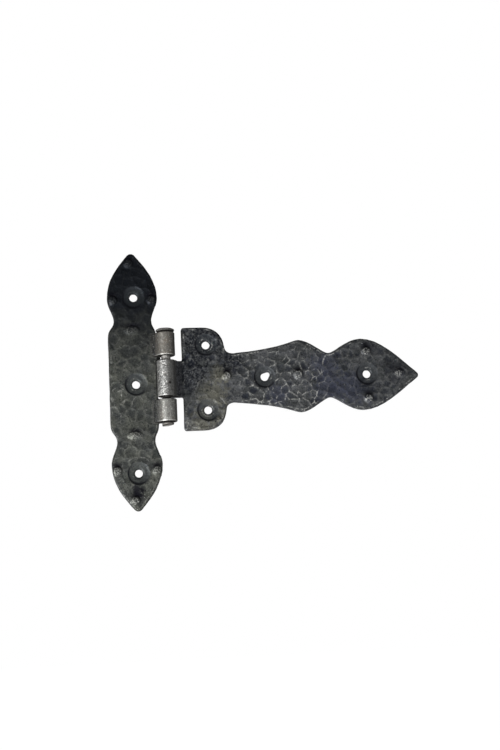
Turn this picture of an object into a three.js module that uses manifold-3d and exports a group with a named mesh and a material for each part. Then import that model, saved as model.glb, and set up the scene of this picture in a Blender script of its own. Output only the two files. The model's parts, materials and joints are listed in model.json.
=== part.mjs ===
// Hammered T hinge: a frame leaf with spear ends and a winged strap leaf, turning about one riveted pin.
// Millimetres. +Z is up along the pin, +X runs along the strap, and the wall is the plane y = 0 behind it.
// The origin is on the wall face of the frame leaf, level with the middle of the barrel.
import * as THREE from 'three';
import { mergeVertices } from 'three/addons/utils/BufferGeometryUtils.js';
import Module from 'manifold-3d';

const wasm = await Module();
wasm.setup();

// Sheet and barrel
const SHEET = 3;                    // plate thickness
const EDGE_ROUND = 0.5;             // rounding of the plate edges
const PIN_DIAMETER = 6;
const BORE_CLEARANCE = 0.3;         // radial, between the pin and each knuckle
const KNUCKLE_DIAMETER = 12.2;
const KNUCKLE_EDGE = 0.5;           // broken edge at each knuckle end
const SEAT_GAP = 0.3;               // between a plate tongue and its knuckle
const BARREL_HEIGHT = KNUCKLE_DIAMETER / 2;   // of the pin axis above the wall face
const ORIGIN_TO_PIN = 11;           // along X
const TONGUE_EDGE = 3.2;            // distance from the pin axis at which each tongue ends
const TONGUE_GAP = 0.3;             // along the pin, between a frame tongue and the strap's

// Knuckles, bottom and top along the pin
const STRAP_KNUCKLE = { bottom: -12, top: 12 };
const UPPER_KNUCKLE = { bottom: 14.5, top: 30.1 };
const LOWER_KNUCKLE = { bottom: -28.2, top: -13.3 };

// Pin ends
const PIN_END_GAP = 0.4;
const HEAD = { diameter: 12, thickness: 2.1, round: 0.8 };
const PEEN = { diameter: 7.6, thickness: 2.2, round: 0.5 };

// Turning points of an outline. `at` is the distance along the leaf, `half` the half width there, `before`
// and `after` are the lengths of the curve's handles, and `flare` is how far a handle leans outwards.

// Frame leaf: x is measured from the pin axis, y is up, and `at` runs up and down from the middle
const LEAF = { centre: -20.5, left: -36.8, right: -5.5 };
const LEAF_BODY = { at: 28.5, after: 6 };
const LEAF_NECK = { at: 39.5, half: 12.3, before: 5, after: 4 };
const LEAF_SPEAR = { at: 54, half: 16.3, before: 5, after: 12 };
const LEAF_TIP = { at: 83, half: 2.4, before: 8.5, flare: 7.4 };

// Strap leaf: x is measured from the pin axis, y is up, and `at` runs along x
const WING = { left: 10.3, right: 38.3, half: 33.9, corner: 2.2, notchFillet: 0.9 };
const WING_CURVE = { start: 23.2, startHandle: 9.3, end: 21, endHandle: 8, tuck: 1 };
const STRAP_ROOT = { at: 44, half: 16.3, after: 36, flare: 3 };
const STRAP_BULGE = { at: 87, half: 24, before: 6, after: 6 };
const STRAP_NECK = { at: 106, half: 14.7, before: 3, after: 4 };
const STRAP_SPEAR = { at: 127.5, half: 23.8, before: 9, after: 13 };
const STRAP_TIP = { at: 164, half: 2, before: 12, flare: 9.8 };
const TIP_DROP = 1.5;               // how far the strap's tip hangs below its axis
const TIP_ROUND = 1;                // length of the blunt end beyond each tip's last turning point

// Screw holes
const HOLE_DIAMETER = 4.8;
const DISH = { diameter: 14.4, floor: 6.4, depth: 0.9, step: 0.6 };
const LEAF_HOLES = { x: -19.5, pitch: 57.2 };
const WING_HOLES = { x: 26.2, y: [22, -20.6] };
const STRAP_HOLES = [63.7, 130.8];

// Raised work on the face. The frame leaf's holes, side bosses and bars sit a little below its middle.
const LEAF_WORK_SHIFT = -2.7;
const BOSS = { radius: 3.7, height: 1.4 };
const LEAF_SIDE_BOSS = { inset: 3.8, y: 55.4 };
const LEAF_TIP_BOSS = { aside: -1.6, y: 77.2 };
const LEAF_BAR = { aside: -0.6, y: 34.3, shift: -1.4, half: 6.2, width: 3.4, height: 1.3 };
const STRAP_BOSSES = [[38.9, 1.2], [85.6, 0.8], [131, 14.9], [131, -16.3]];
const STRAP_RIDGE = { x: 152, half: 4.6, width: 2.9, height: 1.3 };

// Fineness
const CURVE_STEPS = 8;
const ROUND_STEPS = 40;
const DISH_STEPS = 24;
const DOME_STEPS = 8;

function toSolid(geometry) {
  const bare = geometry.clone();
  bare.deleteAttribute('normal');
  bare.deleteAttribute('uv');
  const merged = mergeVertices(bare);
  return new wasm.Manifold(new wasm.Mesh({
    numProp: 3,
    vertProperties: new Float32Array(merged.attributes.position.array),
    triVerts: new Uint32Array(merged.index.array),
  }));
}

function toGeometry(solid) {
  const mesh = solid.getMesh();
  const geometry = new THREE.BufferGeometry();
  geometry.setAttribute('position', new THREE.BufferAttribute(mesh.vertProperties, 3));
  geometry.setIndex(new THREE.BufferAttribute(mesh.triVerts, 1));
  geometry.computeVertexNormals();
  return geometry;
}

// A solid turned about the pin axis from (radius, height) pairs.
function turned(profile, steps = ROUND_STEPS) {
  return new THREE.LatheGeometry(profile.map(([r, y]) => new THREE.Vector2(r, y)), steps);
}

function plate(outline) {
  const geometry = new THREE.ExtrudeGeometry(new THREE.Shape(outline), {
    depth: SHEET - 2 * EDGE_ROUND,
    bevelThickness: EDGE_ROUND,
    bevelSize: EDGE_ROUND,
    bevelOffset: -EDGE_ROUND,
    bevelSegments: 2,
  });
  return toSolid(geometry.translate(0, 0, EDGE_ROUND));
}

function block(left, right, bottom, top) {
  const geometry = new THREE.BoxGeometry(right - left, top - bottom, SHEET);
  return toSolid(geometry.translate((left + right) / 2, (bottom + top) / 2, SHEET / 2));
}

// The room that the round knuckle takes out of the tongue under it.
function knuckleSeat() {
  const length = 2 * WING.half;
  const geometry = new THREE.CylinderGeometry(
    BARREL_HEIGHT + SEAT_GAP, BARREL_HEIGHT + SEAT_GAP, length, ROUND_STEPS);
  return toSolid(geometry.translate(0, 0, BARREL_HEIGHT));
}

// A screw hole with the shallow dish that is hammered round it.
function screwHole(x, y) {
  const over = 1;
  const hole = HOLE_DIAMETER / 2;
  const flare = (DISH.diameter - DISH.floor) / 2 / DISH.depth;
  const geometry = turned([
    [0, -over],
    [hole, -over],
    [hole, SHEET - DISH.depth - DISH.step],
    [DISH.floor / 2, SHEET - DISH.depth],
    [DISH.diameter / 2 + over * flare, SHEET + over],
    [0, SHEET + over],
  ], DISH_STEPS);
  return toSolid(geometry.rotateX(Math.PI / 2).translate(x, y, 0));
}

// A raised mark on the face: half of an ellipsoid, sunk a little into the sheet.
function raised(x, y, halfX, halfY, height) {
  const geometry = new THREE.SphereGeometry(1, 2 * DOME_STEPS, DOME_STEPS);
  geometry.scale(halfX, halfY, height + SHEET / 2);
  const dome = toSolid(geometry.translate(x, y, SHEET / 2));
  const front = toSolid(new THREE.BoxGeometry(3 * halfX, 3 * halfY, 3 * SHEET)
    .translate(x, y, SHEET / 2 + 1.5 * SHEET));
  return dome.intersect(front);
}

function boss(x, y) {
  return raised(x, y, BOSS.radius, BOSS.radius, BOSS.height);
}

function bar(x, y, { half, width, height }) {
  return raised(x, y, half, width, height);
}

function worked(blank, holes, marks) {
  const drilled = holes.reduce((solid, [x, y]) => solid.subtract(screwHole(x, y)), blank);
  return marks.reduce((solid, mark) => solid.add(mark), drilled);
}

// A closed outline from its upper half, given from left to right, and the same half mirrored in y.
function mirrored(upper) {
  const lower = upper.map(({ x, y }) => new THREE.Vector2(x, -y)).reverse();
  return [...upper, ...lower];
}

// The strap's outline bent down, more and more, from its last spear's widest place to its tip.
function bentDown(outline) {
  const length = STRAP_TIP.at - STRAP_SPEAR.at;
  return outline.map(({ x, y }) => {
    const share = Math.max(0, (x - STRAP_SPEAR.at) / length);
    return new THREE.Vector2(x, y - TIP_DROP * share ** 2);
  });
}

// One side of a leaf through its turning points, out to the blunt tip: x is along the leaf, y is the half width.
function side(turns) {
  const path = new THREE.Path();
  path.moveTo(turns[0].at, turns[0].half);
  for (let i = 1; i < turns.length; i += 1) {
    const from = turns[i - 1];
    const to = turns[i];
    path.bezierCurveTo(
      from.at + from.after, from.half + (from.flare ?? 0),
      to.at - to.before, to.half + (to.flare ?? 0),
      to.at, to.half);
  }
  const tip = turns.at(-1);
  path.quadraticCurveTo(tip.at + TIP_ROUND, tip.half / 2, tip.at + TIP_ROUND, tip.half / 5);
  return path.getPoints(CURVE_STEPS);
}

// The curve from the straight edge of the frame leaf's body in to its neck.
function leafShoulder(edge, neck) {
  const path = new THREE.Path();
  path.moveTo(edge, LEAF_BODY.at);
  path.bezierCurveTo(
    edge, LEAF_BODY.at + LEAF_BODY.after, neck, LEAF_NECK.at - LEAF_NECK.before, neck, LEAF_NECK.at);
  return path.getPoints(CURVE_STEPS);
}

function frameLeafOutline() {
  const { centre, left, right } = LEAF;
  const spear = side([LEAF_NECK, LEAF_SPEAR, LEAF_TIP]).slice(1);
  return mirrored([
    ...leafShoulder(left, centre - LEAF_NECK.half),
    ...spear.map(({ x, y }) => new THREE.Vector2(centre - y, x)),
    ...spear.map(({ x, y }) => new THREE.Vector2(centre + y, x)).reverse(),
    ...leafShoulder(right, centre + LEAF_NECK.half).reverse(),
  ]);
}

function tongue(bottom, top) {
  const overlap = 1;
  return block(LEAF.right - EDGE_ROUND - overlap, -TONGUE_EDGE, bottom, top);
}

function frameLeaf() {
  const blank = plate(frameLeafOutline())
    .add(tongue(STRAP_KNUCKLE.top + TONGUE_GAP, UPPER_KNUCKLE.top))
    .add(tongue(LOWER_KNUCKLE.bottom, STRAP_KNUCKLE.bottom - TONGUE_GAP))
    .subtract(knuckleSeat());
  const holes = [-1, 0, 1].map((row) => [LEAF_HOLES.x, LEAF_WORK_SHIFT + row * LEAF_HOLES.pitch]);
  const bossReach = LEAF_SPEAR.half - LEAF_SIDE_BOSS.inset;
  const marks = [1, -1].flatMap((end) => [
    boss(LEAF.centre - bossReach, LEAF_WORK_SHIFT + end * LEAF_SIDE_BOSS.y),
    boss(LEAF.centre + bossReach, LEAF_WORK_SHIFT + end * LEAF_SIDE_BOSS.y),
    boss(LEAF.centre + LEAF_TIP_BOSS.aside, end * LEAF_TIP_BOSS.y),
    bar(LEAF.centre + LEAF_BAR.aside, LEAF_BAR.shift + end * LEAF_BAR.y, LEAF_BAR),
  ]);
  return worked(blank, holes, marks);
}

// The strap's upper edge, from the tongue under its knuckle round the wing and along to the tip.
function strapLeafOutline() {
  const { left, right, half, corner, notchFillet } = WING;
  const { start, startHandle, end, endHandle, tuck } = WING_CURVE;
  const tongueTop = STRAP_KNUCKLE.top;
  const edge = new THREE.Path();
  edge.moveTo(TONGUE_EDGE, tongueTop);
  edge.lineTo(left - notchFillet, tongueTop);
  edge.quadraticCurveTo(left, tongueTop, left, tongueTop + notchFillet);
  edge.lineTo(left, half - corner);
  edge.quadraticCurveTo(left, half, left + corner, half);
  edge.lineTo(start, half);
  edge.bezierCurveTo(start + startHandle, half, right - tuck, end + endHandle, right, end);
  edge.quadraticCurveTo(right, STRAP_ROOT.half, STRAP_ROOT.at, STRAP_ROOT.half);
  const rest = side([STRAP_ROOT, STRAP_BULGE, STRAP_NECK, STRAP_SPEAR, STRAP_TIP]);
  return bentDown(mirrored([...edge.getPoints(CURVE_STEPS), ...rest.slice(1)]));
}

function strapLeaf() {
  const blank = plate(strapLeafOutline()).subtract(knuckleSeat());
  const holes = [
    ...WING_HOLES.y.map((y) => [WING_HOLES.x, y]),
    ...STRAP_HOLES.map((x) => [x, 0]),
  ];
  const marks = [
    ...STRAP_BOSSES.map(([x, y]) => boss(x, y)),
    bar(STRAP_RIDGE.x, 0, STRAP_RIDGE),
  ];
  return worked(blank, holes, marks);
}

function knuckle({ bottom, top }) {
  const outer = KNUCKLE_DIAMETER / 2;
  const bore = PIN_DIAMETER / 2 + BORE_CLEARANCE;
  return turned([
    [bore, bottom],
    [outer - KNUCKLE_EDGE, bottom],
    [outer, bottom + KNUCKLE_EDGE],
    [outer, top - KNUCKLE_EDGE],
    [outer - KNUCKLE_EDGE, top],
    [bore, top],
    [bore, bottom],
  ]);
}

// The pin: a flat round head above the upper knuckle, and a tail peened over under the lower one.
function hingePin() {
  const shank = PIN_DIAMETER / 2;
  const head = HEAD.diameter / 2;
  const peen = PEEN.diameter / 2;
  const headBottom = UPPER_KNUCKLE.top + PIN_END_GAP;
  const headTop = headBottom + HEAD.thickness;
  const peenTop = LOWER_KNUCKLE.bottom - PIN_END_GAP;
  const peenBottom = peenTop - PEEN.thickness;
  return turned([
    [0, peenBottom],
    [peen - PEEN.round, peenBottom],
    [peen, peenBottom + PEEN.round],
    [peen, peenTop],
    [shank, peenTop],
    [shank, headBottom],
    [head - HEAD.round, headBottom],
    [head, headBottom + HEAD.round],
    [head, headTop - HEAD.round],
    [head - HEAD.round, headTop],
    [0, headTop],
  ]);
}

function mesh(name, geometry, colour, roughness, metalness) {
  const material = new THREE.MeshStandardMaterial({ color: colour, roughness, metalness });
  const part = new THREE.Mesh(geometry, material);
  part.name = name;
  return part;
}

// The leaves lie flat with their fronts up and the pin along y; the outer group stands them on the wall.
const leaves = new THREE.Group();
leaves.add(
  mesh('frame_leaf', toGeometry(frameLeaf()), '#45484a', 0.5, 0.8),
  mesh('strap_leaf', toGeometry(strapLeaf()), '#4b4d50', 0.5, 0.8),
);

const barrel = new THREE.Group();
barrel.position.z = BARREL_HEIGHT;
barrel.add(
  mesh('frame_knuckle_upper', knuckle(UPPER_KNUCKLE), '#75716a', 0.4, 0.95),
  mesh('frame_knuckle_lower', knuckle(LOWER_KNUCKLE), '#83837f', 0.4, 0.95),
  mesh('strap_knuckle', knuckle(STRAP_KNUCKLE), '#858583', 0.4, 0.95),
  mesh('hinge_pin', hingePin(), '#8a8884', 0.35, 0.95),
);

const hinge = new THREE.Group();
hinge.rotation.x = Math.PI / 2;
hinge.position.x = ORIGIN_TO_PIN;
hinge.add(leaves, barrel);

export default hinge;
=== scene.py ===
"""The hammered tee hinge: its forged surfaces, its steel and a plain studio round it.

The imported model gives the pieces' sizes and places. Each piece is sculpted from its CAD solid, or drawn to
its box, in millimetres: x along the strap from the pin axis, y into the wall from the wall face, and z up
the pin from the middle of the barrel. It goes back to metres at the end.
"""

import itertools
import json
import math

import bmesh
import bpy
import numpy as np
from mathutils import Matrix, Vector, kdtree


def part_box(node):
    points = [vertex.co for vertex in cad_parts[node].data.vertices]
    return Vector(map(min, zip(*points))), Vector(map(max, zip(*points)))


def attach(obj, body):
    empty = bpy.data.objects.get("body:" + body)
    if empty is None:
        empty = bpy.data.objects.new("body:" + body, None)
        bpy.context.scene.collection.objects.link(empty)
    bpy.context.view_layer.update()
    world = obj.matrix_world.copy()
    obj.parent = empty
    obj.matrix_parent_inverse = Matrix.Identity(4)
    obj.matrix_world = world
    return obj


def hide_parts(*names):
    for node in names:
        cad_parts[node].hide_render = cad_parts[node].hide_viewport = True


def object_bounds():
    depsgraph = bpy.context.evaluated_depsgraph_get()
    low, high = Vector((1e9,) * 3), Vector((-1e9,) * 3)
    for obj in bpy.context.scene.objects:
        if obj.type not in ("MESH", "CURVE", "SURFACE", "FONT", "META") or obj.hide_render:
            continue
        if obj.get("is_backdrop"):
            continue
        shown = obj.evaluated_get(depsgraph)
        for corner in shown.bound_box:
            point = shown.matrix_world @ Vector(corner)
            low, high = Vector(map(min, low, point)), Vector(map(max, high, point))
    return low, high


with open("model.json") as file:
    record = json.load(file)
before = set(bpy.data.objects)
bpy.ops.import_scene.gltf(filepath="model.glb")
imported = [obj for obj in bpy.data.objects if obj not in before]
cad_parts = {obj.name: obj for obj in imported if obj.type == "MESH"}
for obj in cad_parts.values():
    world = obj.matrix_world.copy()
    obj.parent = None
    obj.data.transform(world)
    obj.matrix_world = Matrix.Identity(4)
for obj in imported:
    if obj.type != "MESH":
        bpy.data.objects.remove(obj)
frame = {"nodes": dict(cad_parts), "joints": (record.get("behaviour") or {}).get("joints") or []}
cad_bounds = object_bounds()

MM = 0.001

# Places and sizes that the frame gives, in millimetres
SWING = next(joint for joint in frame["joints"] if joint["name"] == "strap_swing")
PIN_X, PIN_Y = (value / MM for value in SWING["pos_m"][:2])
KNUCKLE_RADIUS = (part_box("strap_knuckle")[1].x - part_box("strap_knuckle")[0].x) / 2 / MM

# Sizes that are the same as the CAD's
SHEET = 3.0                       # thickness of the plates
SHANK_RADIUS = 3.0                # of the pin
BORE_RADIUS = SHANK_RADIUS + 0.35  # of the knuckles, a little wider than the CAD's
HOLE_RADIUS = 2.4                 # of the screw holes
DISH_RADIUS = 7.2                 # of the dish round each screw hole
DISH_DEPTH = 0.9
DISH_FLOOR = 3.2                  # radius at which the dish has its depth
DISH_STEP = 0.6                   # how much deeper it gets from there to the hole

# How the solids' own faces are told apart
FACING_BACK = 0.9                 # least y of the normal of a face that looks into the wall
BACK_SLACK = 0.01                 # how far from the wall face such a face may lie
PROUD_SLACK = 0.02                # how far in front of the plate the faces of bosses and bars lie, at least
HOLE_SPAN = 3 * HOLE_RADIUS       # a boundary wider than this is the plate's outline
TONGUE_EDGE = KNUCKLE_RADIUS - 0.8  # nearer to the pin than this is the tongue, whose sides stay plain

# The bowl that each dish becomes, and the domes that bosses and bars become
BOWL_RADIUS = 7.3
BOWL_DEPTH = 0.62
BOWL_FLATNESS = 5.0               # the higher, the flatter its floor and the steeper its rim
BOWL_WOBBLE = (0.05, 5.0)         # how far its rim strays as a share of its radius, and the strays' width
BOWL_FADE = (-0.4, 0.3)           # from its radius, where it gives way to the hammered plate
BOSS_HEIGHT = 1.0                 # over the plate
BAR_HEIGHT = 0.6
BAR_SHAPE = 1.5                   # whatever is this many times as wide as it is tall is a bar
DOME_POWER = 0.42                 # 0.5 is a half ellipse: the lower, the flatter and steeper the dome
DOME_GRAIN = (0.08, 1.5)          # height and width of the roughness on them

# Forging
LEAF_VOXEL = 0.37
STRAP_VOXEL = 0.42
EDGE_ROUND = 1.25                 # radius of the worn front edges
# Hammer blows: how far apart, the hammer face's radius, and how far out of place, as a share of the pitch
LEAF_BLOW = {"pitch": 6.2, "face": 27.0, "scatter": 0.42}
STRAP_BLOW = {"pitch": 5.1, "face": 16.0, "scatter": 0.36}
BLOW_SPREAD = 0.16                # how much deeper or shallower than the mean a blow is
BLOW_WARP = (0.5, 3.1)            # how far its outline strays, and the width of each stray
BLOW_IN_BOWL = 0.15               # the share of a blow's depth that is left in a bowl
SOFTENED = 0.45                   # the share of its depth that a blow lacks in soft patches
SWELLS = [(0.15, 17.0), (0.04, 1.3), (0.03, 0.8)]  # (height, width) of the unevenness of the front
NICKS = [(0.16, 6.0), (0.05, 1.6)]                 # and of the outline, which is only ever cut back
SOFT_PATCH = 13.0                 # width of the patches where blows are deep or shallow
JOINED_FADE = (-0.4, 1.6)         # from a flare's foot outwards, where a knuckle no longer smooths its plate
JOINED_ENDS = (-0.2, 0.6)         # and from a knuckle's ends, up and down
PROUD_FADE = (0.3, 0.9)           # over the plate, where a boss or bar begins
FRONT_FADE = (1.0, 2.0)           # over the back, where marks of the front begin

# Lines that the material draws: how far they are from the edge or ridge, and their widths
EDGE_LINE = (0.6, 0.4)
INSET_LINE = (1.7, 0.3)
RIDGE_WIDTH = 0.2
HOLLOW_FADE = (0.3, 1.8)          # from a ridge, where the hollow of a blow begins
RING_WIDTH = 0.28
RING_STRENGTH = 0.7
RING_STRAY = (0.4, 2.5)           # how far a ring strays, and the width of each stray

# The flare by which each knuckle runs out on to its plate
FLARE_REACH = 2.9                 # how far it spreads over the plate from the knuckle's side
FLARE_SUNK = 0.35                 # how deep its foot goes into the plate
FLARE_TOP = 32.0                  # degrees in front of the pin axis at which it leaves the round
FLARE_END = -42.0                 # degrees, where it is back on the round, inside the plate
FLARE_POWER = 2.6                 # the higher, the hollower the flare

LATTICE_SIZE = 32
LATTICE = np.random.default_rng(11).uniform(-1.0, 1.0, (LATTICE_SIZE,) * 3)


# ---------------------------------------------------------------- numbers

def noise(points, size, offset=0.0):
    """Smooth noise from -1 to 1 at each point, with features about `size` wide.

    An offset gives another pattern.
    """
    scaled = points / size + offset
    cell = np.floor(scaled).astype(int)
    part = scaled - cell
    part = part * part * (3 - 2 * part)
    total = np.zeros(len(points))
    for corner in itertools.product((0, 1), repeat=3):
        index = (cell + corner) % LATTICE_SIZE
        weight = np.prod(np.where(corner, part, 1 - part), axis=1)
        total += weight * LATTICE[index[:, 0], index[:, 1], index[:, 2]]
    return total


def ramp(value, low, high):
    """0 below low, 1 above high and a smooth step between them."""
    part = np.clip((value - low) / (high - low), 0, 1)
    return part * part * (3 - 2 * part)


def line(value, width):
    """1 where the value is 0, fading over about `width` on both sides."""
    return np.exp(-((value / width) ** 2))


def plan_distance(points, x, z):
    """How far each point is, seen from the front, from one place."""
    return np.hypot(points[:, 0] - x, points[:, 2] - z)


# ---------------------------------------------------------------- meshes

def to_frame(points):
    return (points + np.array([PIN_X, 0, 0])) * MM


def read_points(mesh):
    flat = np.empty(len(mesh.vertices) * 3)
    mesh.vertices.foreach_get("co", flat)
    return flat.reshape(-1, 3)


def read_normals(mesh):
    flat = np.empty(len(mesh.vertices) * 3)
    mesh.vertex_normals.foreach_get("vector", flat)
    return flat.reshape(-1, 3)


def write_points(mesh, points):
    mesh.vertices.foreach_set("co", points.ravel())
    mesh.update()


def cad_copy(node):
    """The node's solid as a bmesh of its own, in sculpting millimetres."""
    solid = bmesh.new()
    solid.from_mesh(frame["nodes"][node].data)
    bmesh.ops.remove_doubles(solid, verts=solid.verts, dist=1e-6)
    for vertex in solid.verts:
        vertex.co = Vector((vertex.co.x / MM - PIN_X, vertex.co.y / MM, vertex.co.z / MM))
    return solid


def remeshed(name, solid, voxel):
    """A fine, even mesh of the solid, with everything in it joined into one skin."""
    coarse = bpy.data.meshes.new(name)
    solid.to_mesh(coarse)
    solid.free()
    holder = bpy.data.objects.new(name, coarse)
    bpy.context.scene.collection.objects.link(holder)
    remesh = holder.modifiers.new("skin", "REMESH")
    remesh.mode = "VOXEL"
    remesh.voxel_size = voxel
    smooth = holder.modifiers.new("even", "SMOOTH")
    smooth.factor = 0.5
    smooth.iterations = 2
    graph = bpy.context.evaluated_depsgraph_get()
    fine = bpy.data.meshes.new_from_object(holder.evaluated_get(graph))
    bpy.data.objects.remove(holder)
    return fine


def add_marks(mesh, marks):
    """Stores each named value from 0 to 1 on the mesh's points, for its material."""
    for name, values in marks.items():
        attribute = mesh.attributes.new(name, "FLOAT", "POINT")
        attribute.data.foreach_set("value", np.clip(values, 0, 1).astype(np.float32))


def finished(name, mesh, material, body, node):
    """The piece that stands for a CAD node."""
    mesh.name = name
    mesh.shade_smooth()
    mesh.materials.clear()
    mesh.materials.append(material)
    piece = bpy.data.objects.new(name, mesh)
    bpy.context.scene.collection.objects.link(piece)
    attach(piece, body)
    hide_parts(node)


# ---------------------------------------------------------------- what the CAD leaf has

def grow_loop(rim):
    """Takes one connected run of edges out of rim, and returns its vertices."""
    waiting = list(rim.pop().verts)
    found = set(waiting)
    while waiting:
        vertex = waiting.pop()
        for edge in [e for e in vertex.link_edges if e in rim]:
            rim.discard(edge)
            other = edge.other_vert(vertex)
            if other not in found:
                found.add(other)
                waiting.append(other)
    return found


def loops(rim):
    """The (x, z) places of the vertices of each connected run of edges."""
    while rim:
        yield np.array([(vertex.co.x, vertex.co.z) for vertex in grow_loop(rim)])


def is_back(face):
    return face.normal.y > FACING_BACK and abs(face.calc_center_median().y) < BACK_SLACK


def hole_centres(solid):
    """The (x, z) centre of each screw hole, in order along x and then up z.

    The holes are the inner boundaries of the plate's flat back. A set of edges gives them in any order, and
    each bowl's shape goes by its hole's number, so they are sorted.
    """
    back = {face for face in solid.faces if is_back(face)}
    rim = {edge for face in back for edge in face.edges if sum(f in back for f in edge.link_faces) == 1}
    small = [loop for loop in loops(rim) if np.ptp(loop, axis=0).max() < HOLE_SPAN]
    centres = [(loop.min(axis=0) + loop.max(axis=0)) / 2 for loop in small]
    return sorted(centres, key=lambda centre: (round(centre[0]), centre[1]))


def raised_tops(solid):
    """(x, z, half width, half height) of each boss and bar: the connected faces in front of the plate."""
    proud = {face for face in solid.faces if face.calc_center_median().y < -SHEET - PROUD_SLACK}
    rim = {edge for face in proud for edge in face.edges}
    tops = []
    for places in loops(rim):
        low, high = places.min(axis=0), places.max(axis=0)
        tops.append((*(low + high) / 2, *(high - low) / 2))
    return tops


# ---------------------------------------------------------------- forged leaves

def edge_distance(points, normals):
    """How far each point is, seen from the front, from the plate's nearest edge or hole."""
    height = -points[:, 1]
    upright = np.abs(normals[:, 1]) < 0.5
    midway_up = np.abs(height - SHEET / 2) < 0.5
    seen = points[upright & midway_up & (np.abs(points[:, 0]) > TONGUE_EDGE)]
    tree = kdtree.KDTree(len(seen))
    for i, (x, _, z) in enumerate(seen):
        tree.insert((x, 0, z), i)
    tree.balance()
    return np.array([tree.find((x, 0, z))[2] for x, _, z in points])


def blow_centres(points, pitch, scatter, seed):
    """Hammer blows in staggered rows over the plate, each out of place by up to `scatter` of the pitch."""
    random = np.random.default_rng(seed)
    low, high = points.min(axis=0) - pitch, points.max(axis=0) + pitch
    rows = np.arange(low[2], high[2], pitch * math.sqrt(3) / 2)
    centres = []
    for i, z in enumerate(rows):
        for x in np.arange(low[0] + (i % 2) * pitch / 2, high[0], pitch):
            centres.append((x, z))
    return np.array(centres) + random.uniform(-scatter, scatter, (len(centres), 2)) * pitch


def hammered(points, pitch, face, scatter, seed):
    """(height of the hammered surface, distance to the ridge between two blows, a random tone by blow)."""
    centres = blow_centres(points, pitch, scatter, seed)
    random = np.random.default_rng(seed + 1)
    sunk = random.uniform(-BLOW_SPREAD, BLOW_SPREAD, len(centres))
    tones = random.uniform(0, 1, len(centres))
    stray, stray_size = BLOW_WARP
    warp = np.stack([noise(points, stray_size, 4.0), noise(points, stray_size, 9.0)], axis=1)
    plan = points[:, [0, 2]] + stray * warp
    height = np.empty(len(points))
    ridge = np.empty(len(points))
    tone = np.empty(len(points))
    batch = 8000                  # points at a time, to save memory
    for start in range(0, len(points), batch):
        rows = slice(start, start + batch)
        square = ((plan[rows, None] - centres[None]) ** 2).sum(axis=2)
        bowl = square / (2 * face) + sunk
        order = np.argpartition(bowl, 1, axis=1)[:, :2]
        two = np.take_along_axis(bowl, order, axis=1)
        first = np.where(two[:, 0] <= two[:, 1], order[:, 0], order[:, 1])
        second = np.where(two[:, 0] <= two[:, 1], order[:, 1], order[:, 0])
        apart = np.linalg.norm(centres[first] - centres[second], axis=1)
        height[rows] = two.min(axis=1)
        ridge[rows] = np.abs(two[:, 0] - two[:, 1]) * face / apart
        tone[rows] = tones[first]
    return height, ridge, tone


def open_hole(points, centre, reach, towards):
    """Pulls one screw hole's rim outwards by `reach` towards one angle, so that it is no longer round."""
    away = points[:, [0, 2]] - centre
    distance = np.linalg.norm(away, axis=1)
    unit = away / np.maximum(distance, 1e-6)[:, None]
    facing = np.clip(unit @ np.array([math.cos(towards), math.sin(towards)]), 0, 1)
    narrowness = 6
    pull = reach * facing ** narrowness * (1 - ramp(distance, HOLE_RADIUS, 3 * HOLE_RADIUS))
    points[:, [0, 2]] += unit * pull[:, None]


def bowl_change(points, centre, offset):
    """How far the plate rises where the CAD's dish becomes a bowl, and how much of a bowl it is there."""
    away = points[:, [0, 2]] - centre
    distance = np.linalg.norm(away, axis=1)
    stray, stray_size = BOWL_WOBBLE
    wobble = 1 + stray * noise(points, stray_size, offset)
    share = np.clip(distance / (BOWL_RADIUS * wobble), 0, 1)
    wanted = BOWL_DEPTH * (1 - share ** BOWL_FLATNESS)
    plain = DISH_DEPTH * np.clip((DISH_RADIUS - distance) / (DISH_RADIUS - DISH_FLOOR), 0, 1)
    plain += DISH_STEP * np.clip((DISH_FLOOR - distance) / (DISH_FLOOR - HOLE_RADIUS), 0, 1)
    inside = 1 - ramp(distance, *(BOWL_RADIUS + step for step in BOWL_FADE))
    in_the_hole = distance < HOLE_RADIUS - 0.2
    return np.where(in_the_hole, 0, plain - wanted), inside


def all_bowls(points, holes, seed):
    """bowl_change for all the holes of a leaf."""
    rise = np.zeros(len(points))
    dished = np.zeros(len(points))
    for i, centre in enumerate(holes):
        bowl_rise, inside = bowl_change(points, centre, 3.0 * i + seed)
        rise += bowl_rise
        dished = np.maximum(dished, inside)
    return rise, dished


def domed(points, height, tops):
    """How much each boss and bar has to rise or sink to become a full, round dome."""
    change = np.zeros(len(points))
    for x, z, half_width, half_height in tops:
        share = np.hypot((points[:, 0] - x) / half_width, (points[:, 2] - z) / half_height)
        rise = BAR_HEIGHT if half_width > BAR_SHAPE * half_height else BOSS_HEIGHT
        wanted = SHEET + rise * np.clip(1 - share ** 2, 0, 1) ** DOME_POWER
        change += np.where((share < 1) & (height > SHEET / 2), wanted - height, 0)
    return change


def edge_drop(distance):
    """How far a rounded front edge falls below the sheet, by the distance from the edge."""
    inside = np.clip(EDGE_ROUND - distance, 0, EDGE_ROUND)
    return EDGE_ROUND - np.sqrt(EDGE_ROUND ** 2 - inside ** 2)


def joined_share(points, from_pin, spans):
    """1 beside a knuckle, under the foot of its flare, fading out over the plate."""
    foot = KNUCKLE_RADIUS + FLARE_REACH
    beside = 1 - ramp(from_pin, *(foot + step for step in JOINED_FADE))
    along = np.zeros(len(points))
    for bottom, top in spans:
        middle, half = (bottom + top) / 2, (top - bottom) / 2
        fade = (half + step for step in JOINED_ENDS)
        along = np.maximum(along, 1 - ramp(np.abs(points[:, 2] - middle), *fade))
    return beside * along


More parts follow.
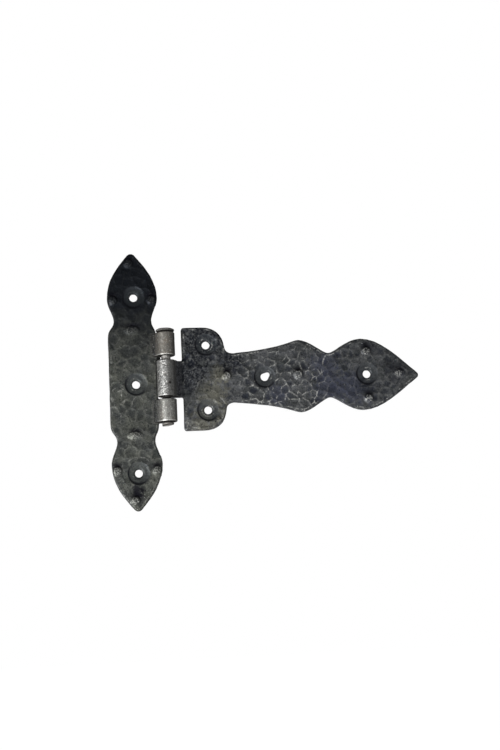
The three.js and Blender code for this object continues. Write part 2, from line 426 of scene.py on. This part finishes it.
def forge(node, side, voxel, blow, knuckle_nodes, seed, burnish, veil, rings, ragged=()):
    """The forged leaf's mesh, with the marks that its material reads.

    side says which way the leaf lies from the pin axis along x: -1 or 1. burnish(points) says where ridges
    shine, and veil(points) where whatever is rubbed bright is hidden. rings are as in ring_share, and
    ragged has (number among the leaf's holes, reach, angle) for each screw hole that is out of round.
    """
    solid = cad_copy(node)
    holes = hole_centres(solid)
    tops = raised_tops(solid)
    spans = [(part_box(k)[0].z / MM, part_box(k)[1].z / MM) for k in knuckle_nodes]
    mesh = remeshed(node, solid, voxel)
    points = read_points(mesh)
    normals = read_normals(mesh)

    distance = edge_distance(points, normals)
    height = -points[:, 1]
    from_pin = side * points[:, 0]
    joined = joined_share(points, from_pin, spans)
    proud = ramp(height, *(SHEET + step for step in PROUD_FADE))
    blows, to_ridge, tone = hammered(points, seed=seed, **blow)

    rise, dished = all_bowls(points, holes, seed)
    struck = (1 - (1 - BLOW_IN_BOWL) * dished) * (1 - joined)
    hard = ramp(noise(points, SOFT_PATCH, 6.0), -0.5, 0.5)
    rise += (blows - blows.mean()) * struck * (1 - SOFTENED + SOFTENED * hard)
    rise += sum(high * noise(points, wide) for high, wide in SWELLS)
    rise -= edge_drop(distance) * (1 - joined)
    rise += domed(points, height, tops)
    grain_height, grain_size = DOME_GRAIN
    rise += proud * grain_height * noise(points, grain_size, 8.0)
    points[:, 1] -= rise * np.clip(height / SHEET, 0, 1)

    inward = sum(deep * (noise(points, wide, 2.0) - 1) for deep, wide in NICKS)
    inward *= (1 - np.abs(normals[:, 1])) * (1 - joined) * (from_pin > TONGUE_EDGE)
    points[:, [0, 2]] += normals[:, [0, 2]] * inward[:, None]
    for number, reach, towards in ragged:
        open_hole(points, holes[number], reach, towards)

    front = ramp(height, SHEET * 0.8, SHEET)
    facing = ramp(height, *FRONT_FADE)
    edge_at, edge_width = EDGE_LINE
    inset_at, inset_width = INSET_LINE
    bright_ridge = line(to_ridge, RIDGE_WIDTH) * struck * burnish(points)
    marks = {
        "ridge": np.maximum(bright_ridge, ring_share(points, rings)) * (front * (1 - proud)),
        "hollow": ramp(to_ridge, *HOLLOW_FADE) * struck * front,
        "tone": tone,
        "edge": line(distance - edge_at, edge_width) * facing * (1 - dished),
        "inset_edge": line(distance - inset_at, inset_width) * facing,
        "bowl": dished * facing,
        "joined": joined,
        "proud": proud,
        # Painted shade: the crescent in each bowl and the shadow above each boss and bar
        "rim_and_boss_shade": np.maximum(bowl_crescent(points, holes), shaded(points, tops)) * facing,
        "bore": bore_share(points, holes),
        "bare": 1 - veil(points),
    }
    write_points(mesh, to_frame(points))
    add_marks(mesh, marks)
    return mesh


# ---------------------------------------------------------------- where a leaf is bright or dark

def ring_share(points, rings):
    """1 along the bright arc left by each deep blow's rim: (x, z, half width, half height, from, to)."""
    stray, stray_size = RING_STRAY
    share = np.zeros(len(points))
    for x, z, half_width, half_height, start, end in rings:
        across, up = (points[:, 0] - x) / half_width, (points[:, 2] - z) / half_height
        around = (np.degrees(np.arctan2(up, across)) - start) % 360
        wide = min(half_width, half_height)
        ring = line((np.hypot(across, up) - 1) * wide + stray * noise(points, stray_size, 3.0), RING_WIDTH)
        share = np.maximum(share, RING_STRENGTH * ring * (around < end - start))
    return share


def bowl_crescent(points, holes):
    """Painted shade: the dark crescent at the lower left of each bowl, on the rim wall that faces away from
    the light.
    """
    plan = points[:, [0, 2]]
    dark = np.zeros(len(points))
    for centre in holes:
        rim = line(np.linalg.norm(plan - centre, axis=1) - BOWL_RADIUS + 0.6, 0.55)
        off = np.linalg.norm(plan - centre - BOWL_RADIUS * np.array([0.6, 0.7]), axis=1)
        dark = np.maximum(dark, rim * ramp(off, BOWL_RADIUS, 1.7 * BOWL_RADIUS))
    return dark


def bore_share(points, holes):
    """1 on the wall of each screw hole, which is painted near black: oxide and painted shade."""
    plan = points[:, [0, 2]]
    nearest = np.min([np.linalg.norm(plan - centre, axis=1) for centre in holes], axis=0)
    return 1 - ramp(nearest, HOLE_RADIUS + 0.1, HOLE_RADIUS + 0.5)


def shaded(points, tops):
    """Painted shadow above each boss and bar, up from its upper flank, on the side away from the light
    below.
    """
    dark = np.zeros(len(points))
    for x, z, half_width, half_height in tops:
        across = (points[:, 0] - x) / (half_width + 0.4)
        up = (points[:, 2] - z - 1.15 * half_height) / (0.6 * half_height)
        dark = np.maximum(dark, np.exp(-(across ** 2) * 1.2 - up ** 2))
    return dark


def frame_burnish(points):
    """The frame leaf's ridges shine only here and there, most of all below and left of its middle hole."""
    near_middle = line(plan_distance(points, -32, -12), 9)
    return 0.24 + 0.76 * near_middle


def strap_burnish(points):
    """The strap's ridges shine along its middle and bulge, and more below than above."""
    middle = ramp(points[:, 0], 42, 56) * (1 - ramp(points[:, 0], 97, 106))
    below = ramp(-points[:, 2], -16, 8)
    return 0.15 + middle * (0.3 + 0.5 * below)


def frame_veil(points):
    """Half of the bright rubbed metal on the frame leaf is hidden, and most of it on the upper spear, where
    the leaf is darker.
    """
    return 0.5 + 0.4 * ramp(points[:, 2], 12, 45)


def strap_veil(points):
    """Nothing rubbed bright on the strap is hidden."""
    return np.zeros(len(points))


# ---------------------------------------------------------------- turned pieces

def turned_mesh(name, profile, steps):
    """A ring or solid round the pin axis from (radius, z) points.

    They close on themselves, or else run from the axis to the axis.
    """
    solid = bmesh.new()
    turns = [2 * math.pi * i / steps for i in range(steps)]
    rings = []
    for radius, z in profile:
        if radius < 1e-6:
            rings.append([solid.verts.new((0, PIN_Y, z))] * steps)
        else:
            places = [(radius * math.cos(a), PIN_Y + radius * math.sin(a), z) for a in turns]
            rings.append([solid.verts.new(place) for place in places])
    closed = profile[0][0] > 1e-6
    following = rings[1:] + rings[:1] if closed else rings[1:]
    for lower, upper in zip(rings, following):
        for i in range(steps):
            after = (i + 1) % steps
            corners = [lower[i], lower[after], upper[after], upper[i]]
            solid.faces.new(list(dict.fromkeys(corners)))
    bmesh.ops.recalc_face_normals(solid, faces=solid.faces)
    mesh = bpy.data.meshes.new(name)
    solid.to_mesh(mesh)
    solid.free()
    return mesh


def arc(centre, radius, start, end, count):
    """(radius, z) points round a corner, from one angle in degrees to another."""
    angles = np.radians(np.linspace(start, end, count))
    return [(centre[0] + radius * math.cos(a), centre[1] + radius * math.sin(a)) for a in angles]


def straight(start, end, step):
    """Points from start up to, but not with, end."""
    count = max(1, round(math.dist(start, end) / step))
    return [tuple(np.array(start) + (np.array(end) - start) * i / count) for i in range(count)]


def flare_radius(angles):
    """The knuckle's outer radius with its flare, by the angle in degrees in front of the pin axis."""
    out, back = KNUCKLE_RADIUS + FLARE_REACH, -PIN_Y - SHEET + FLARE_SUNK
    foot = math.hypot(out, back)
    foot_angle = -math.degrees(math.atan2(back, out))
    rise = np.clip((angles - foot_angle) / (FLARE_TOP - foot_angle), 0, 1)
    inside = np.clip((angles - FLARE_END) / (foot_angle - FLARE_END), 0, 1)
    share = np.where(angles >= foot_angle, (1 - rise) ** FLARE_POWER, inside)
    return KNUCKLE_RADIUS + (foot - KNUCKLE_RADIUS) * share


def sleeve_profile(bore, outer, bottom, top):
    """(radius, z) points round a sleeve's wall, with soft outer corners and a small lip at each mouth."""
    soft, mouth, lip, step = 0.75, bore + 0.25, 0.2, 0.35
    return [
        *straight((bore, bottom + lip), (mouth, bottom), lip),
        *straight((mouth, bottom), (outer - soft, bottom), step),
        *arc((outer - soft, bottom + soft), soft, -90, 0, 6)[:-1],
        *straight((outer, bottom + soft), (outer, top - soft), step),
        *arc((outer - soft, top - soft), soft, 0, 90, 6)[:-1],
        *straight((outer - soft, top), (mouth, top), step),
        *straight((mouth, top), (bore, top - lip), lip),
        *straight((bore, top - lip), (bore, bottom + lip), 1.0),
    ]


def knuckle(node, side, pitted, dull_and_shade, offset):
    """A sleeve with softened ends, a worn, pitted skin and a flare out on to its plate, on the side given.

    Its skin goes dull and darker from one share of its radius to another, across the barrel: partly patina,
    partly painted shade on the side away from the light.
    """
    low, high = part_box(node)
    bottom, top = low.z / MM, high.z / MM
    bore, outer = BORE_RADIUS, KNUCKLE_RADIUS
    mesh = turned_mesh(node, sleeve_profile(bore, outer, bottom, top), 150)
    points = read_points(mesh)
    normals = read_normals(mesh)
    radial = np.hypot(points[:, 0], points[:, 1] - PIN_Y)

    skin = ramp(radial, outer - 1.5, outer - 0.5)
    pits = ramp(noise(points, 1.1, offset), 0.25, 0.7)
    dents = 0.5 * (noise(points, 4.5, offset) - 1)
    depth = pitted * (0.16 * pits - 0.1 * dents) + 0.04 * (1 - noise(points, 0.8, offset))
    points -= normals * (depth * skin)[:, None]
    end = np.maximum(ramp(points[:, 2], top - 1, top), ramp(-points[:, 2], -bottom - 1, -bottom))
    worn = end * 0.12 * (1 + noise(points, 3.5, offset))
    points[:, 2] -= np.sign(points[:, 2] - (top + bottom) / 2) * worn

    angles = np.degrees(np.arctan2(PIN_Y - points[:, 1], side * points[:, 0]))
    flared = np.where(np.abs(angles) < 90, flare_radius(angles), outer) / outer
    share = ramp(radial, bore + 0.4, outer - 0.4)
    stretch = 1 + (flared - 1) * share
    points[:, 0] *= stretch
    points[:, 1] = PIN_Y + (points[:, 1] - PIN_Y) * stretch

    across = points[:, 0] / outer
    on_front = points[:, 1] < PIN_Y
    inner = 1 - ramp(radial, bore + 0.2, bore + 0.8)
    marks = {
        "pit": pits * skin,
        # Painted highlight: a bright line along each knuckle's lower end, on its lit side
        "end_highlight": line(points[:, 2] - bottom - 0.5, 0.4) * skin * (1 - ramp(across, *dull_and_shade)),
        # Soot and painted shade on the end faces, in the gaps between the knuckles, and inside the bore
        "soot_and_shade": np.maximum(ramp(np.abs(normals[:, 2]), 0.35, 0.8), inner),
        "flaw": 1.6 * pitted ** 4 * line(plan_distance(points, 1.8, -3.4), 0.8) * on_front,
        # Darker on the side away from the light: partly patina, partly painted shade
        "dull_and_shade": ramp(across, *dull_and_shade),
        "foot": ramp(side * points[:, 0], outer - 0.9, outer + 1.4),
    }
    write_points(mesh, to_frame(points))
    add_marks(mesh, marks)
    return mesh


def pin_mesh():
    """The pin: a flat head with a full round rim, its shank, and a tail hammered over a little askew."""
    low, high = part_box("hinge_pin")
    bottom, top = low.z / MM, high.z / MM
    shank = SHANK_RADIUS
    fillet = 0.2
    head_radius = (high.x - low.x) / 2 / MM
    head_round = 0.95
    head_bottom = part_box("frame_knuckle_upper")[1].z / MM + 0.4
    head_middle = head_bottom + head_round
    tail_radius = 3.8
    tail_round = 0.7
    tail_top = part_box("frame_knuckle_lower")[0].z / MM - 0.4
    profile = [
        (0, bottom),
        *straight((0.5, bottom), (tail_radius - tail_round, bottom), 0.4),
        *arc((tail_radius - tail_round, bottom + tail_round), tail_round, -90, 0, 6),
        (tail_radius, tail_top - 0.5),
        (tail_radius - 0.25, tail_top),
        (shank + fillet, tail_top),
        *straight((shank, tail_top + fillet), (shank, head_bottom - fillet), 0.4),
        (shank + fillet, head_bottom),
        *straight((shank + 0.6, head_bottom), (head_radius - head_round, head_bottom), 0.5),
        *arc((head_radius - head_round, head_middle), head_round, -90, 90, 12),
        *straight((head_radius - head_round - 0.2, top), (0.5, top), 0.4),
        (0, top),
    ]
    mesh = turned_mesh("hinge_pin", profile, 96)
    points = read_points(mesh)
    tail = ramp(tail_top - points[:, 2], 0.3, tail_top - bottom)
    points[:, 2] += tail * (0.45 + 0.13 * points[:, 0] + 0.1 * noise(points, 1.7))
    radial = np.hypot(points[:, 0], points[:, 1] - PIN_Y)
    dome = (points[:, 2] > head_middle) * ramp(radial, 0, head_radius)
    points[:, 2] -= 0.2 * dome + 0.05 * (1 + noise(points, 1.9, 3.0)) * (points[:, 2] > top - 0.4)

    rim = line(points[:, 2] - head_bottom - head_round, 0.32)
    tail_rim = np.maximum(ramp(radial, tail_radius - 1.0, tail_radius - 0.4), 0.4)
    below_strap = points[:, 2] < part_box("strap_knuckle")[0].z / MM + 0.5
    # Where the pin shows in the gap under the strap knuckle it is painted dark, as painted shade; the tail
    # is sooty
    lower_soot_and_shade = np.where(below_strap & (points[:, 2] > tail_top), 0.9, tail_rim * tail)
    marks = {
        "pit": ramp(noise(points, 1.1), 0.4, 0.8),
        # The head is dark but for a band round its rim: partly soot, partly painted shade on its top and on
        # its underside by the knuckle
        "soot_and_shade": np.where(points[:, 2] > head_bottom - 0.1, 0.97 - 0.6 * rim, lower_soot_and_shade),
    }
    write_points(mesh, to_frame(points))
    add_marks(mesh, marks)
    return mesh


# ---------------------------------------------------------------- materials

def rgb(red, green, blue):
    return (red, green, blue, 1.0)


WHITE = rgb(1, 1, 1)

# Iron
OXIDE = rgb(0.029, 0.031, 0.031)
DUST = rgb(0.20, 0.20, 0.185)
DARK_SPOT = rgb(0.006, 0.007, 0.008)
BOWL_GREY = rgb(0.022, 0.025, 0.028)
EDGE_GREY = rgb(0.012, 0.013, 0.014)
# Painted shade in the bowls' crescents and above the bosses and bars
PAINTED_SHADE_BLACK = rgb(0.003, 0.003, 0.005)
RUBBED = rgb(0.52, 0.52, 0.49)
# Near black on the screw holes' walls: oxide and painted shade
BORE_OXIDE_AND_SHADE = rgb(0.006, 0.006, 0.006)

# Stains on the leaves
SPEAR_DARKENING = rgb(0.004, 0.005, 0.007)
TIP_SOOT = rgb(0.005, 0.005, 0.007)
NAVY = rgb(0.030, 0.033, 0.050)
OLIVE = rgb(0.105, 0.102, 0.078)
BASE_SOOT = rgb(0.004, 0.005, 0.008)
BLUE_SOOT = rgb(0.007, 0.008, 0.012)

# Steel
BROWN = rgb(0.15, 0.125, 0.10)
LIGHT_FRECKLE = rgb(0.66, 0.66, 0.63)
DARK_FRECKLE = rgb(0.06, 0.06, 0.058)
# Dull grey of the barrels' far sides: partly patina, partly painted shade
DULL_AND_SHADE = rgb(0.085, 0.085, 0.082)
PIT = rgb(0.09, 0.085, 0.08)
# Painted highlight along the knuckles' lower ends
PAINTED_END_HIGHLIGHT = rgb(0.62, 0.62, 0.60)
FOOT_BLOT = rgb(0.014, 0.015, 0.018)
FOOT_SPECK = rgb(0.42, 0.43, 0.45)
# Soot and painted shade for the knuckles' ends, the gaps between them and their bores
BARREL_SOOT_AND_SHADE = rgb(0.012, 0.011, 0.010)


class Shader:
    """A material's node tree, with short calls for the nodes that the hinge uses."""

    def __init__(self, name):
        self.material = bpy.data.materials.new(name)
        self.material.use_nodes = True
        self.tree = self.material.node_tree
        self.surface = self.tree.nodes["Principled BSDF"]
        self.place = self.put("ShaderNodeTexCoord").outputs["Object"]

    def put(self, kind, values=None, **settings):
        node = self.tree.nodes.new(kind)
        for key, value in settings.items():
            setattr(node, key, value)
        for key, value in (values or {}).items():
            self.set(node.inputs[key], value)
        return node

    def set(self, socket, value):
        if isinstance(value, bpy.types.NodeSocket):
            self.tree.links.new(value, socket)
        else:
            socket.default_value = value

    def with_surface(self, **values):
        """Sets the surface's sockets, whose names have _ for each space, and gives the material."""
        for name, value in values.items():
            self.set(self.surface.inputs[name.replace("_", " ")], value)
        return self.material

    def mark(self, name):
        return self.put("ShaderNodeAttribute", attribute_name=name).outputs["Fac"]

    def vector(self, operation, first, second, output=0):
        return self.put("ShaderNodeVectorMath", {0: first, 1: second}, operation=operation).outputs[output]

    def grain(self, size, detail=2.0, rough=0.5, stretch=(1, 1, 1)):
        """Noise from 0 to 1 with features about `size` millimetres wide, longer where `stretch` is small."""
        place = self.vector("MULTIPLY", self.place, stretch)
        values = {"Vector": place, "Scale": 1 / (size * MM), "Detail": detail, "Roughness": rough}
        return self.put("ShaderNodeTexNoise", values).outputs["Fac"]

    def fit(self, value, low, high, to_low=0.0, to_high=1.0):
        """Carries low..high over to to_low..to_high, and holds whatever is outside at the nearer end."""
        values = {"Value": value, "From Min": low, "From Max": high, "To Min": to_low, "To Max": to_high}
        return self.put("ShaderNodeMapRange", values).outputs[0]

    def math(self, operation, first, second):
        return self.put("ShaderNodeMath", {0: first, 1: second}, operation=operation).outputs[0]

    def times(self, first, second):
        return self.math("MULTIPLY", first, second)

    def most(self, first, second):
        return self.math("MAXIMUM", first, second)

    def blend(self, share, first, second):
        node = self.put("ShaderNodeMix", data_type="RGBA")
        self.set(node.inputs[0], share)
        self.set(node.inputs[6], first)
        self.set(node.inputs[7], second)
        return node.outputs[2]

    def paint(self, colour, coats):
        """Lays each coat over the colour in turn: (where it lies from 0 to 1, its strength, its tint)."""
        for share, strength, tint in coats:
            colour = self.blend(self.times(share, strength), colour, tint)
        return colour

    def bump(self, height, depth, under=None):
        values = {"Height": height, "Distance": depth * MM, "Strength": 1.0}
        if under is not None:
            values["Normal"] = under
        return self.put("ShaderNodeBump", values).outputs[0]

    def up(self):
        """The height up the pin, in metres."""
        return self.put("ShaderNodeSeparateXYZ", {0: self.place}).outputs["Z"]

    def near(self, x, z, radius, ragged=0.5, core=0.35):
        """1 within `core` of the radius round a place on the front, fading to 0 at a ragged edge."""
        flat = self.vector("MULTIPLY", self.place, (1, 0, 1))
        distance = self.vector("DISTANCE", flat, ((x + PIN_X) * MM, 0, z * MM), "Value")
        stray = ragged * radius * MM
        strayed = self.math("ADD", distance, self.fit(self.grain(3.0, 3.0, 0.6), 0.3, 0.7, -stray, stray))
        return self.fit(strayed, radius * MM, core * radius * MM)


def rubbed_places(s):
    """Where the black is rubbed off: broken lines along ridges and edges, and the tops of the bosses."""
    broken = s.fit(s.grain(3.4, 2.0), 0.47, 0.60)
    dots = s.fit(s.grain(0.8, 2.0), 0.44, 0.6)
    ridges = s.times(s.mark("ridge"), s.times(broken, s.fit(dots, 0, 1, 0.4, 1)))
    edges = s.times(s.mark("edge"), s.fit(s.grain(1.6, 3.0), 0.52, 0.66, 0.0, 0.2))
    inset = s.times(s.mark("inset_edge"), s.times(s.fit(s.grain(5.0), 0.52, 0.62, 0.0, 0.6), dots))
    tops = s.times(s.mark("proud"), s.fit(s.grain(0.9, 2.0), 0.46, 0.60, 0.0, 0.4))
    return s.most(s.most(ridges, edges), s.most(inset, tops))


def blackened_iron(name, stains, patch_tint, mottle_tint, cell_tint, joint_tint):
    """Hammered iron under a waxed black oxide, rubbed bright along its ridges and edges."""
    s = Shader(name)
    speckle = s.grain(0.9, 3.0, 0.65)
    dark_cells = s.times(s.fit(s.mark("tone"), 0.25, 1.0), s.mark("hollow"))
    joint = s.times(s.mark("joined"), s.fit(s.grain(1.4, 3.0), 0.36, 0.62, 0.1, 0.8))
    colour = s.paint(OXIDE, [
        (s.fit(s.grain(9.0, 3.0), 0.35, 0.65), 1.0, patch_tint),
        (s.fit(s.grain(2.0, 4.0, 0.6), 0.42, 0.66), 0.55, mottle_tint),
        (dark_cells, 0.85, cell_tint),
        (s.fit(speckle, 0.60, 0.72), 0.35, DUST),
        *stains(s),
        (s.fit(speckle, 0.44, 0.34), 0.85, DARK_SPOT),
        (s.mark("bowl"), 0.5, BOWL_GREY),
        (s.mark("edge"), 0.6, EDGE_GREY),
        # Painted shade: the bowls' crescents and the shadow above each boss and bar
        (s.mark("rim_and_boss_shade"), 0.95, PAINTED_SHADE_BLACK),
        (joint, 1.0, joint_tint),
        (s.times(rubbed_places(s), s.mark("bare")), 0.9, RUBBED),
        # Near black on the screw holes' walls: oxide and painted shade
        (s.mark("bore"), 1.0, BORE_OXIDE_AND_SHADE),
    ])
    rough = s.fit(s.grain(1.5, 3.0), 0.3, 0.7, 0.38, 0.58)
    grainy = s.bump(s.grain(0.45, 3.0, 0.6), 0.05)
    return s.with_surface(
        Base_Color=colour,
        Metallic=0.75,
        Specular_IOR_Level=0.15,
        Roughness=s.most(rough, s.times(s.mark("bore"), 0.95)),
        Normal=s.bump(speckle, 0.10, grainy),
    )


def frame_stains(s):
    """Darker towards the top of the frame leaf, most of all over the upper spear, and soot under the lower
    hole.
    """
    drift = s.fit(s.grain(6.0), 0.3, 0.7, -6 * MM, 6 * MM)
    yield s.fit(s.math("ADD", s.up(), drift), 8 * MM, 50 * MM), 0.97, SPEAR_DARKENING
    for x, z, radius in [(-20.5, -70, 5.5), (-19, -74, 4.5)]:
        yield s.near(x, z, radius), 0.95, TIP_SOOT


def strap_stains(s):
    """A blued neck and spear, an olive patch at the base, and soot beside the knuckle and on the spear."""
    for x, z, radius in [(103, 6, 13), (106, -9, 15), (121, -9, 15), (72, -12, 9)]:
        yield s.near(x, z, radius), 0.62, NAVY
    for x, z, radius in [(29, -10, 13), (35, 3, 8), (22, -29, 11), (38, -24, 7)]:
        yield s.near(x, z, radius), 0.55, OLIVE
    grit = s.fit(s.grain(1.5, 4.0, 0.75), 0.59, 0.47)
    for x, z, radius in [(13, 4, 18), (24, 26, 18), (42, 10, 10)]:
        yield s.times(s.near(x, z, radius), grit), 0.95, BASE_SOOT
    for x, z, radius in [(129, -9, 7), (133, 18, 7), (150, 4, 9)]:
        yield s.near(x, z, radius), 0.6, BLUE_SOOT


def bare_steel(name, tint, foot_tint, stain, stain_size, freckles):
    """Drawn steel left bare: streaked along the barrel, freckled with small pits, and black inside and on
    its ends, partly soot and partly painted shade.

    foot_tint is the colour of a knuckle's flare. stain and freckles say how strong these are.
    """
    s = Shader(name)
    streaks = s.fit(s.grain(1.3, 3.0, 0.6, (1, 1, 0.12)), 0.35, 0.65)
    freckle = s.grain(0.8, 2.0, 0.6)
    foot = s.mark("foot")
    colour = s.paint(rgb(*(0.7 * value for value in tint)), [
        (streaks, 1.0, rgb(*tint)),
        (s.fit(s.grain(stain_size, 3.0), 0.52, 0.68), stain, BROWN),
        (s.fit(freckle, 0.54, 0.66), freckles, LIGHT_FRECKLE),
        (s.fit(freckle, 0.46, 0.36), freckles, DARK_FRECKLE),
        # Darker across the side away from the light: partly patina, partly painted shade
        (s.mark("dull_and_shade"), 0.85, DULL_AND_SHADE),
        (s.mark("pit"), 0.5, PIT),
        # Painted highlight along the lower end, on the lit side
        (s.mark("end_highlight"), 0.4, PAINTED_END_HIGHLIGHT),
        (foot, s.fit(s.grain(1.3, 4.0, 0.75), 0.58, 0.46, 0.35, 1.0), rgb(*foot_tint)),
        (s.times(foot, s.fit(s.grain(1.9, 3.0, 0.7), 0.55, 0.42)), 0.85, FOOT_BLOT),
        (foot, s.fit(s.grain(1.0, 3.0, 0.7), 0.57, 0.68, 0.0, 0.7), FOOT_SPECK),
        # Soot and painted shade on the ends, in the gaps and inside the bore, and the flaw
        (s.most(s.mark("soot_and_shade"), s.mark("flaw")), 1.0, BARREL_SOOT_AND_SHADE),
    ])
    return s.with_surface(
        Base_Color=colour,
        Metallic=0.85,
        Specular_IOR_Level=0.3,
        Roughness=s.fit(s.mark("soot_and_shade"), 0, 1, 0.48, 0.95),
        Normal=s.bump(freckle, 0.08),
    )


# ---------------------------------------------------------------- studio

def floor():
    """A wide pale floor, well below the hinge."""
    level = -0.32
    half = 6.0
    mesh = bpy.data.meshes.new("floor")
    corners = [(-half, -half, level), (half, -half, level), (half, half, level), (-half, half, level)]
    mesh.from_pydata(corners, [], [(0, 1, 2, 3)])
    s = Shader("floor_paint")
    paint = s.blend(s.grain(400.0), rgb(0.93, 0.93, 0.93), rgb(0.96, 0.96, 0.96))
    mesh.materials.append(s.with_surface(
        Base_Color=paint,
        Roughness=0.9,
        Emission_Color=WHITE,
        Emission_Strength=0.77,
    ))
    made = bpy.data.objects.new("floor", mesh)
    bpy.context.scene.collection.objects.link(made)
    made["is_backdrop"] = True


def area_light(name, place, target, size, power):
    light = bpy.data.lights.new(name, "AREA")
    light.shape = "DISK"
    light.size = size
    light.energy = power
    lamp = bpy.data.objects.new(name, light)
    lamp.location = place
    lamp.rotation_euler = (Vector(target) - Vector(place)).to_track_quat("-Z", "Y").to_euler()
    bpy.context.scene.collection.objects.link(lamp)


def studio():
    """A white sky, a key light from below on the left, and a weak fill.

    The camera sees the sky white, and the hinge gets only a quarter of its light.
    """
    world = bpy.data.worlds.new("studio")
    world.use_nodes = True
    nodes, links = world.node_tree.nodes, world.node_tree.links
    nodes.clear()
    path = nodes.new("ShaderNodeLightPath")
    strength = nodes.new("ShaderNodeMapRange")
    strength.inputs["To Min"].default_value = 0.26
    strength.inputs["To Max"].default_value = 1.0
    links.new(path.outputs["Is Camera Ray"], strength.inputs["Value"])
    sky = nodes.new("ShaderNodeBackground")
    sky.inputs["Color"].default_value = WHITE
    links.new(strength.outputs[0], sky.inputs["Strength"])
    out = nodes.new("ShaderNodeOutputWorld")
    links.new(sky.outputs[0], out.inputs["Surface"])
    bpy.context.scene.world = world
    middle = (0.06, 0.0, 0.0)
    area_light("key", (-0.46, -0.50, -0.27), middle, size=0.14, power=11.0)
    area_light("fill", (0.3, -1.0, -0.1), middle, size=0.6, power=1.5)
    bpy.context.scene.view_settings.view_transform = "Standard"


def camera():
    """A long lens a little below and left of the barrel, looking up ten degrees and slightly tilted."""
    place = (-0.0284, -0.8925, -0.1564)
    turn = math.radians(-6.0)
    pitch = math.radians(10.0)
    tilt = math.radians(2.7)
    data = bpy.data.cameras.new("camera")
    data.lens = 67.4
    data.sensor_width = 36.0
    data.clip_start = 0.01
    made = bpy.data.objects.new("camera", data)
    made.matrix_world = (
        Matrix.Translation(place)
        @ Matrix.Rotation(turn, 4, "Z")
        @ Matrix.Rotation(pitch, 4, "X")
        @ Matrix.Rotation(tilt, 4, "Y")
        @ Matrix.Rotation(math.pi / 2, 4, "X")
    )
    bpy.context.scene.collection.objects.link(made)
    bpy.context.scene.camera = made


# ---------------------------------------------------------------- the hinge

# Bright arcs on the leaves: x, z, half width, half height, and the degrees from and to
FRAME_RINGS = [
    (-31, -10, 4.4, 6, 20, 340),
    (-19.5, -57, 8.2, 7.6, 30, 150),
]
STRAP_RINGS = [
    (63.7, 1, 11, 10, 120, 235),
    (31, 21, 7, 9, -60, 50),
    (30, -21, 8, 9, -50, 60),
    (17, -28, 4, 4, 150, 290),
    (108, 2, 7, 12, 100, 190),
]
# The strap's first hole on its axis was punched ragged towards its upper right.
RAGGED_HOLE = (2, 1.5, math.radians(40))

# Each knuckle's body, the side of its plate, how deep its pits are, where it dulls and darkens across its
# radius (partly patina, partly painted shade), and what its steel looks like
KNUCKLE_LOOKS = {
    "frame_knuckle_upper": ("frame", -1, 0.4, (0.35, 1.1), {
        "tint": (0.145, 0.137, 0.122), "foot_tint": (0.05, 0.05, 0.045),
        "stain": 0.6, "stain_size": 2.6, "freckles": 0.25,
    }),
    "strap_knuckle": ("strap", 1, 1.0, (-0.15, 0.2), {
        "tint": (0.22, 0.22, 0.216), "foot_tint": (0.110, 0.116, 0.130),
        "stain": 0.2, "stain_size": 3.6, "freckles": 0.9,
    }),
    "frame_knuckle_lower": ("frame", -1, 0.35, (0.5, 1.1), {
        "tint": (0.19, 0.19, 0.178), "foot_tint": (0.055, 0.057, 0.052),
        "stain": 0.3, "stain_size": 4.6, "freckles": 0.35,
    }),
}
PIN_LOOK = {
    "tint": (0.30, 0.29, 0.275), "foot_tint": (0.3, 0.3, 0.3),
    "stain": 0.4, "stain_size": 5.6, "freckles": 0.4,
}

camera()
studio()
floor()

frame_mesh = forge(
    "frame_leaf", -1, LEAF_VOXEL, LEAF_BLOW, ("frame_knuckle_upper", "frame_knuckle_lower"), seed=5,
    burnish=frame_burnish, veil=frame_veil, rings=FRAME_RINGS)
frame_iron = blackened_iron(
    "iron_frame", frame_stains,
    patch_tint=rgb(0.047, 0.049, 0.042), mottle_tint=rgb(0.074, 0.076, 0.067),
    cell_tint=rgb(0.018, 0.020, 0.020), joint_tint=rgb(0.07, 0.07, 0.064))
finished("frame_leaf_forged", frame_mesh, frame_iron, "frame", "frame_leaf")

strap_mesh = forge(
    "strap_leaf", 1, STRAP_VOXEL, STRAP_BLOW, ("strap_knuckle",), seed=21,
    burnish=strap_burnish, veil=strap_veil, rings=STRAP_RINGS, ragged=[RAGGED_HOLE])
strap_iron = blackened_iron(
    "iron_strap", strap_stains,
    patch_tint=rgb(0.052, 0.054, 0.057), mottle_tint=rgb(0.083, 0.085, 0.088),
    cell_tint=rgb(0.011, 0.013, 0.019), joint_tint=rgb(0.045, 0.047, 0.052))
finished("strap_leaf_forged", strap_mesh, strap_iron, "strap", "strap_leaf")

for number, (node, (body, side, pitted, dull_and_shade, look)) in enumerate(KNUCKLE_LOOKS.items()):
    steel = bare_steel("steel_" + node, **look)
    sleeve = knuckle(node, side, pitted, dull_and_shade, offset=7.0 * number)
    finished(node + "_sleeve", sleeve, steel, body, node)

pin_steel = bare_steel("steel_pin", **PIN_LOOK)
finished("hinge_pin_riveted", pin_mesh(), pin_steel, "pin", "hinge_pin")

boxes = {"cad": cad_bounds, "visual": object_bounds()}
{name: [list(corner) for corner in box] for name, box in boxes.items()}
